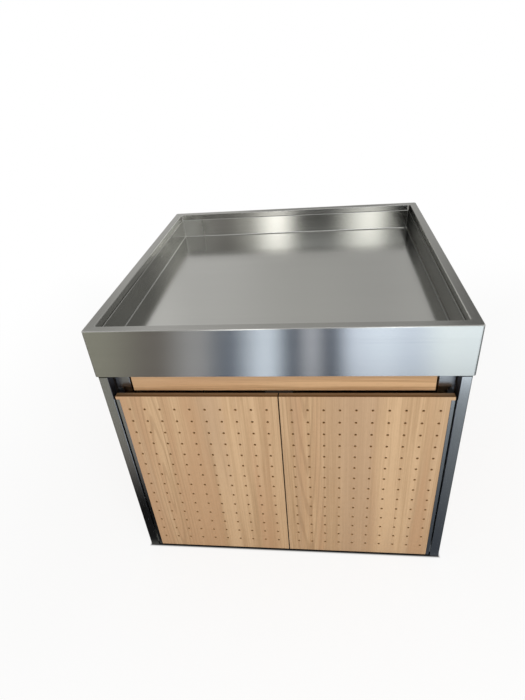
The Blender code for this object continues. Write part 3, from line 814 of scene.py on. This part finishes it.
class BIN_OT_boards(bpy.types.Operator):
    """Makes the header and the boards that close the cupboard"""

    bl_idname = "produce_bin.boards"
    bl_label = "Boards"

    # The way of each board's grain, then its thin side.
    GRAINS = {"header_panel": "XY", "base_board": "XZ", "rear_panel": "ZY",
              "side_panel_left": "ZX", "side_panel_right": "ZX"}
    # Where the arches of their veneer are centred, and the header's tint and contrast; the tint lightens the
    # header's wood as painted light, for the tray's shade over it.
    HEART = (0.1, 0.1, 0.5)
    HEADER_PAINTED_LIGHT_AND_CONTRAST = ((1.23, 1.165, 1.10), 3.0)

    def execute(self, context):
        sizes = context.scene.bin_sizes
        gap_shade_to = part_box("hinge_post_left")[0].y + sizes.tube_corner
        for number, (node, (grain, flat)) in enumerate(self.GRAINS.items()):
            low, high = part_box(node)
            shape = board(low, high, sizes.board_round)
            # Painted shade: the front strip of each side board's inner face and front edge is near-black, as
            # the shadow in the gap behind the leg.
            if node.startswith("side"):
                cut(shape, (0, gap_shade_to, 0), (0, 1, 0))
                outside = Vector((math.copysign(1.0, low.x), 0.0, 0.0))
                for face in shape.faces:
                    if face.calc_center_median().y < gap_shade_to and face.normal.dot(outside) < 0.5:
                        face.material_index = 2
            look = self.HEADER_PAINTED_LIGHT_AND_CONTRAST if node == "header_panel" else (PLAIN, 1.0)
            wood = [kept(f"{node}_wood", board_wood, grain, flat, self.HEART, 1.7 * number, *look),
                    kept("board_edge", edge_wood, "X", high.y), plain_finish("sealed")]
            add_piece(f"{node}_face", shape, wood, CABINET, [node], rounded=False)
        return {"FINISHED"}


class BIN_OT_uprights(bpy.types.Operator):
    """Makes the legs, the hinge posts and the steel edges of the doors"""

    bl_idname = "produce_bin.uprights"
    bl_label = "Uprights"

    def upright(self, node, corner, end, body):
        low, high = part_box(node)
        shape = square_tube(low, high, "Z", corner, end)
        finishes = [post_steel() if node.startswith("hinge_post") else tube_steel("Z")]
        # Painted shade: the front legs' inner faces turn black in the recess above the doors' steel edges.
        if node.startswith("leg_front"):
            self.blacken(shape, -math.copysign(1.0, low.x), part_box("door_edge_tube_left")[1].z)
            finishes.append(plain_finish("blackened"))
        piece = add_piece(f"{node}_tube", shape, finishes, body, [node])
        even_normals(piece)

    def blacken(self, shape, inward, low):
        """The inner face above the doors' steel edges, beside the pivot arm, is painted black as shade in the
        recess.
        """
        cut(shape, (0, 0, low), (0, 0, 1))
        for face in shape.faces:
            if face.calc_center_median().z > low and face.normal.x * inward > 0.4:
                face.material_index = 1

    def execute(self, context):
        sizes = context.scene.bin_sizes
        for corner in CORNERS:
            self.upright(f"leg_{corner}", sizes.tube_corner, sizes.tube_end, CABINET)
        for side in SIDES:
            self.upright(f"hinge_post_{side}", sizes.tube_corner, sizes.tube_end, CABINET)
            self.upright(f"door_edge_tube_{side}", sizes.strip_corner, sizes.tube_end, f"{side}_door")
        return {"FINISHED"}


class BIN_OT_fittings(bpy.types.Operator):
    """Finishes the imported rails, strips, pivots, feet and catch"""

    bl_idname = "produce_bin.fittings"
    bl_label = "Fittings"

    def execute(self, context):
        shades = {"black_plastic": "plastic", "nylon": "nylon", "plated_steel": "zinc", "magnet": "magnet"}
        finishes = {slot: plain_finish(shade) for slot, shade in shades.items()}
        for name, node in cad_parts.items():
            low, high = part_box(name)
            size = high - low
            grain = "XYZ"[max(range(3), key=lambda i: size[i])]
            pivot = name.startswith(("upper_pivot_arm", "lower_pivot_tab"))
            steel = plain_finish("blackened") if pivot else tube_steel(grain)
            for slot in node.material_slots:
                slot.material = finishes.get(slot.material.name.split(".")[0], steel)
        return {"FINISHED"}


class BIN_OT_screws(bpy.types.Operator):
    """Adds the screws that hold the boards, the header and the catch"""

    bl_idname = "produce_bin.screws"
    bl_label = "Screws"

    def add_screw(self, shape, sizes, place, out):
        """A button head with a round socket, standing on a face."""
        radius = sizes.screw_head / 2
        turn = Vector((0, 0, 1)).rotation_difference(Vector(out)).to_matrix().to_4x4()
        seat = Matrix.Translation(Vector(place)) @ turn @ Matrix.Translation((0, 0, sizes.screw_rise / 2))
        made = bmesh.ops.create_cone(shape, cap_ends=True, segments=14, radius1=radius, radius2=radius * 0.72,
                                     depth=sizes.screw_rise, matrix=seat)
        faces = list({f for v in made["verts"] for f in v.link_faces})
        top = max(faces, key=lambda f: f.calc_center_median().dot(Vector(out)))
        bmesh.ops.inset_region(shape, faces=[top], thickness=radius * 0.34, depth=0.0)
        pull(shape, [top], Vector(out) * -sizes.screw_rise * 0.6)

    def execute(self, context):
        sizes = context.scene.bin_sizes
        zinc = [plain_finish("zinc")]

        shape = bmesh.new()
        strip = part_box("top_strip_rear")[0]
        z = (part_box("rear_panel")[1].z + strip.z) / 2
        for number in range(-2, 3):
            along = number * sizes.screw_pitch
            self.add_screw(shape, sizes, (along, strip.y, z), (0, -1, 0))
            for side, way in SIDES.items():
                inner = min(abs(corner.x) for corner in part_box(f"top_strip_{side}"))
                self.add_screw(shape, sizes, (way * inner, along, z), (-way, 0, 0))
        add_piece("board_screws", shape, zinc, CABINET, rounded=False)

        shape = bmesh.new()
        for side in SIDES:
            low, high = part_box(f"header_tab_{side}")
            for share in (0.22, 0.78):
                place = ((low.x + high.x) / 2, high.y, low.z + (high.z - low.z) * share)
                self.add_screw(shape, sizes, place, (0, 1, 0))
        low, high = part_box("catch_body")
        for way in SIDES.values():
            place = (way * sizes.catch_screws / 2, (low.y + high.y) / 2 + sizes.catch_set, low.z)
            self.add_screw(shape, sizes, place, (0, 0, -1))
        add_piece("header_screws", shape, zinc, CABINET, rounded=False)
        return {"FINISHED"}


# Stage


class BIN_OT_stage(bpy.types.Operator):
    """Sets up the floor, the light, the screen that the steel mirrors and the camera"""

    bl_idname = "produce_bin.stage"
    bl_label = "Stage"

    # Where the camera stands, which ways its right, up and back point, and how far the apron's middle is.
    EYE = Vector((0.1125, -1.363, 1.332))
    EYE_AXES = ((0.99186, 0.10063, -0.07775), (0.01039, 0.54197, 0.8403), (0.12685, -0.83412, 0.53701))
    EYE_AWAY = 1.09
    APRON_MIDDLE = 0.735
    # Half the width of the painted shadow on the floor under the bin, and where it has ended.
    PAINTED_SHADOW = (0.444, 0.452)
    # Half the width of the front card, and the heights where its bands and its windows end.
    CARD_HALF = 2.4
    BANDS_TOP = 0.95
    WINDOWS_TOP = 3.6
    # The width, foot and top of the card behind the bin.
    REAR_CARD = (5.0, 0.3, 5.0)
    # The size of the overhead panel, where it hangs and where it points.
    PANEL = (3.0, 2.2)
    PANEL_PLACE = Vector((0.8, -3.0, 2.3))
    PANEL_AIM = Vector((0.0, 0.0, 0.5))

    def seen(self, finish):
        """1 for rays that show the backdrop, 0 for rays that light the bin."""
        rays = [finish.node("ShaderNodeLightPath", out=out) for out in (0, 3, 6)]
        return finish.maths("MAXIMUM", finish.maths("MAXIMUM", rays[0], rays[1]), rays[2])

    def make_world(self, stage):
        world = bpy.data.worlds.new("studio")
        world.use_nodes = True
        bpy.context.scene.world = world
        finish = Finish(world.node_tree, "ShaderNodeOutputWorld")
        fill = finish.node("ShaderNodeBackground", sockets={0: (1.0, 0.99, 0.97, 1.0), 1: stage.fill})
        white = finish.node("ShaderNodeBackground", sockets={0: (1.0, 1.0, 1.0, 1.0), 1: 1.0})
        finish.show(finish.node("ShaderNodeMixShader", sockets={0: self.seen(finish), 1: fill, 2: white}))

    def reach(self, finish, x, y):
        """How far out a place is, counted square like the bin."""
        return finish.maths("MAXIMUM", finish.maths("ABSOLUTE", x), finish.maths("ABSOLUTE", y))

    def make_floor(self, stage, shades):
        shape = bmesh.new()
        bmesh.ops.create_grid(shape, x_segments=1, y_segments=1, size=stage.floor_size / 2)
        material, finish = surface("studio_floor")
        reach = self.reach(finish, *finish.parts()[:2])
        clear = finish.band(reach, *self.PAINTED_SHADOW)
        far = finish.band(reach, 0.5, 2.0)
        # Painted shadow: under the bin the floor is near-black and shows no backdrop white.
        dark = finish.node("ShaderNodeBsdfDiffuse", sockets={"Color": (0.02, 0.02, 0.02, 1.0)})
        pale = finish.node("ShaderNodeBsdfDiffuse", sockets={"Color": (*shades.floor, 1.0)})
        ground = finish.node("ShaderNodeMixShader", sockets={0: clear, 1: dark, 2: pale})
        white = finish.node("ShaderNodeEmission", sockets={"Color": (1.0, 1.0, 1.0, 1.0), "Strength": 1.0})
        share = self.seen(finish) * clear * (0.82 + far * 0.18)
        finish.show(finish.node("ShaderNodeMixShader", sockets={0: share, 1: ground, 2: white}))
        self.stage_piece("studio_floor", shape, [material])

    def glow(self, name, make):
        """A material that gives off the light that make works out from the three coordinates."""
        material, finish = surface(name)
        light, strength = make(finish, *finish.parts())
        finish.show(finish.node("ShaderNodeEmission", sockets={"Color": light, "Strength": strength}))
        material.cycles.emission_sampling = "NONE"
        return material

    def bands(self, finish, x, y, z):
        """Bands that fan out from the apron's middle, because brushed steel spreads light over a cone."""
        ahead = self.front - y
        rise = z - self.APRON_MIDDLE
        away = finish.maths("SQRT", ahead * ahead + rise * rise) / self.EYE_AWAY
        spot = (x + away * self.EYE.x) / (1.0 + away)
        return finish.ramp(
            spot + 0.5,
            (0.070, (0.195, 0.193, 0.162)), (0.217, (0.114, 0.105, 0.096)), (0.317, (0.250, 0.252, 0.264)),
            (0.392, (0.086, 0.102, 0.136)), (0.486, (0.563, 0.636, 0.742)), (0.543, (0.064, 0.077, 0.106)),
            (0.585, (0.410, 0.430, 0.485)), (0.628, (0.058, 0.071, 0.101)), (0.683, (0.675, 0.757, 0.903)),
            (0.740, (0.737, 0.829, 0.976)), (0.806, (0.602, 0.686, 0.829)), (0.884, (0.845, 0.934, 1.000)),
            (0.960, (0.835, 0.924, 1.000)))

    def floor_light(self, finish, x, y, z):
        """The floor that the steel mirrors: dark close to the bin, darker on its right."""
        ahead = self.front - y
        right = finish.band(x, -0.25, 0.25)
        left_near = 0.04 + finish.band(ahead, 0.14, 0.46) * 0.94
        right_near = 0.06 + finish.maths("POWER", finish.maths("MAXIMUM", ahead, 0.0), 1.3) * 0.26
        near = left_near + (right_near - left_near) * right
        beside = finish.mix(right, (0.150, 0.150, 0.138), (0.075, 0.080, 0.088))
        beside = finish.mix(finish.band(self.reach(finish, x, y), 1.7, 2.3), beside, (0.29, 0.29, 0.29))
        before = finish.shaded(self.bands(finish, x, y, z), near)
        return finish.mix(finish.band(ahead, -0.04, 0.02), beside, before), self.stage.screen

    def band_light(self, finish, x, y, z):
        """The bands by themselves, above the floor."""
        return self.bands(finish, x, y, z), self.stage.screen

    def window_light(self, finish, x, y, z):
        """Two windows over the screen, a pale strip above them and darkness above that."""
        panes = finish.ramp(
            x * 0.5 + 0.5,
            (0.05, (0.20, 0.20, 0.196)), (0.19, (0.105, 0.102, 0.10)), (0.27, (0.20, 0.20, 0.193)),
            (0.388, (0.92, 0.92, 0.905)), (0.482, (0.035, 0.035, 0.034)), (0.575, (0.030, 0.030, 0.029)),
            (0.733, (0.77, 0.78, 0.765)), (0.83, (0.05, 0.05, 0.048)))
        strip = finish.mix(finish.band(x, -0.55, -0.30), (0.04, 0.04, 0.04), (0.32, 0.33, 0.34))
        light = finish.mix(finish.band(z, 1.42, 1.52), panes, strip)
        return finish.mix(finish.band(z, 1.74, 1.84), light, (0.075, 0.075, 0.075)), self.stage.windows

    def rear_light(self, finish, x, y, z):
        """The wall behind the bin: paler on the left and dim on the right, with a brighter foot."""
        across = x * 0.2 + 0.5
        wall = finish.ramp(
            across,
            (0.08, (0.48, 0.48, 0.47)), (0.20, (0.82, 0.82, 0.81)), (0.30, (0.70, 0.70, 0.69)),
            (0.50, (0.585, 0.585, 0.57)), (0.62, (0.545, 0.545, 0.535)), (0.71, (0.60, 0.60, 0.59)),
            (0.78, (0.22, 0.22, 0.215)), (0.95, (0.13, 0.13, 0.13)))
        foot = finish.ramp(
            across,
            (0.20, (0.92, 0.92, 0.90)), (0.30, (1.00, 1.00, 0.98)), (0.37, (1.00, 1.00, 0.98)),
            (0.44, (0.60, 0.60, 0.58)), (0.52, (0.51, 0.51, 0.49)), (0.58, (0.53, 0.53, 0.51)),
            (0.66, (0.81, 0.81, 0.80)), (0.75, (0.77, 0.77, 0.76)))
        return finish.mix(finish.band(z, 1.45, 1.65), foot, wall), self.stage.rear

    def make_screens(self, stage):
        """Cards in front of the bin, behind it and on the floor that only polished surfaces show."""
        self.front = CAD_BOX[0].y
        self.stage = stage
        shape = bmesh.new()
        bmesh.ops.create_grid(shape, x_segments=1, y_segments=1, size=1.0)
        half = self.CARD_HALF
        low = self.front - stage.screen_back
        bmesh.ops.scale(shape, vec=(half, (half - low) / 2, 1.0), verts=shape.verts)
        bmesh.ops.translate(shape, vec=(0.0, (half + low) / 2, 0.001), verts=shape.verts)
        edges = [e for e in shape.edges if all(v.co.y < self.front for v in e.verts)]
        for index, height in ((1, self.BANDS_TOP), (2, self.WINDOWS_TOP)):
            drawn = bmesh.ops.extrude_edge_only(shape, edges=edges)
            for vert in only(BMVert, drawn):
                vert.co.z = height
            for face in only(BMFace, drawn):
                face.material_index = index
            edges = [e for e in only(BMEdge, drawn) if all(abs(v.co.z - height) < NEAR for v in e.verts)]
        finishes = [self.glow("floor_light", self.floor_light), self.glow("band_light", self.band_light),
                    self.glow("window_light", self.window_light)]
        front_card = self.stage_piece("front_card", shape, finishes)

        width, foot, top = self.REAR_CARD
        back = stage.card_back
        shape = block(Vector((-width / 2, back, foot)), Vector((width / 2, back + 0.01, top)))
        rear_card = self.stage_piece("rear_card", shape, [self.glow("rear_light", self.rear_light)])
        for card in (front_card, rear_card):
            card.visible_camera = False
            card.visible_diffuse = False
            card.visible_shadow = False
            card.visible_transmission = False

    def stage_piece(self, name, shape, finishes):
        piece = make_object(name, shape, finishes)
        return piece

    def make_key(self, stage):
        lamp = bpy.data.lights.new("overhead_panel", "AREA")
        lamp.shape = "RECTANGLE"
        lamp.size, lamp.size_y = self.PANEL
        lamp.energy = stage.key
        lamp.color = (1.0, 0.985, 0.96)
        panel = bpy.data.objects.new("overhead_panel", lamp)
        panel.location = self.PANEL_PLACE
        panel.rotation_euler = (self.PANEL_AIM - self.PANEL_PLACE).to_track_quat("-Z", "Y").to_euler()
        panel.visible_glossy = False
        bpy.context.scene.collection.objects.link(panel)

    def make_camera(self, stage):
        camera = bpy.data.cameras.new("camera")
        camera.lens = stage.lens
        camera.sensor_width = 36.0
        camera.clip_start = 0.01
        view = bpy.data.objects.new("camera", camera)
        view.matrix_world = Matrix.Translation(self.EYE) @ Matrix(self.EYE_AXES).transposed().to_4x4()
        bpy.context.scene.collection.objects.link(view)
        bpy.context.scene.camera = view

    def execute(self, context):
        stage = context.scene.bin_stage
        context.scene.view_settings.view_transform = "Standard"
        self.make_world(stage)
        self.make_floor(stage, context.scene.bin_colours)
        self.make_screens(stage)
        self.make_key(stage)
        self.make_camera(stage)
        return {"FINISHED"}


class BIN_PT_panel(bpy.types.Panel):
    """Lists the pieces of the bin in the sidebar"""

    bl_idname = "BIN_PT_panel"
    bl_label = "Produce Display Bin"
    bl_space_type = "VIEW_3D"
    bl_region_type = "UI"
    bl_category = "Bin"

    def draw(self, context):
        for group in (context.scene.bin_sizes, context.scene.bin_colours, context.scene.bin_stage):
            column = self.layout.column(align=True)
            for name in group.__annotations__:
                column.prop(group, name)
        for operator in OPERATORS:
            self.layout.operator(operator.bl_idname)


OPERATORS = (BIN_OT_stage, BIN_OT_tray, BIN_OT_doors, BIN_OT_boards, BIN_OT_uprights, BIN_OT_fittings,
             BIN_OT_screws)
CLASSES = (BinSizes, BinColours, BinStage, *OPERATORS, BIN_PT_panel)


def register():
    for cls in CLASSES:
        bpy.utils.register_class(cls)
    bpy.types.Scene.bin_sizes = PointerProperty(type=BinSizes)
    bpy.types.Scene.bin_colours = PointerProperty(type=BinColours)
    bpy.types.Scene.bin_stage = PointerProperty(type=BinStage)


def unregister():
    del bpy.types.Scene.bin_stage
    del bpy.types.Scene.bin_colours
    del bpy.types.Scene.bin_sizes
    for cls in reversed(CLASSES):
        bpy.utils.unregister_class(cls)


def main():
    register()
    bpy.ops.produce_bin.stage()
    bpy.ops.produce_bin.tray()
    bpy.ops.produce_bin.doors()
    bpy.ops.produce_bin.boards()
    bpy.ops.produce_bin.uprights()
    bpy.ops.produce_bin.fittings()
    bpy.ops.produce_bin.screws()


if __name__ == "__main__":
    main()
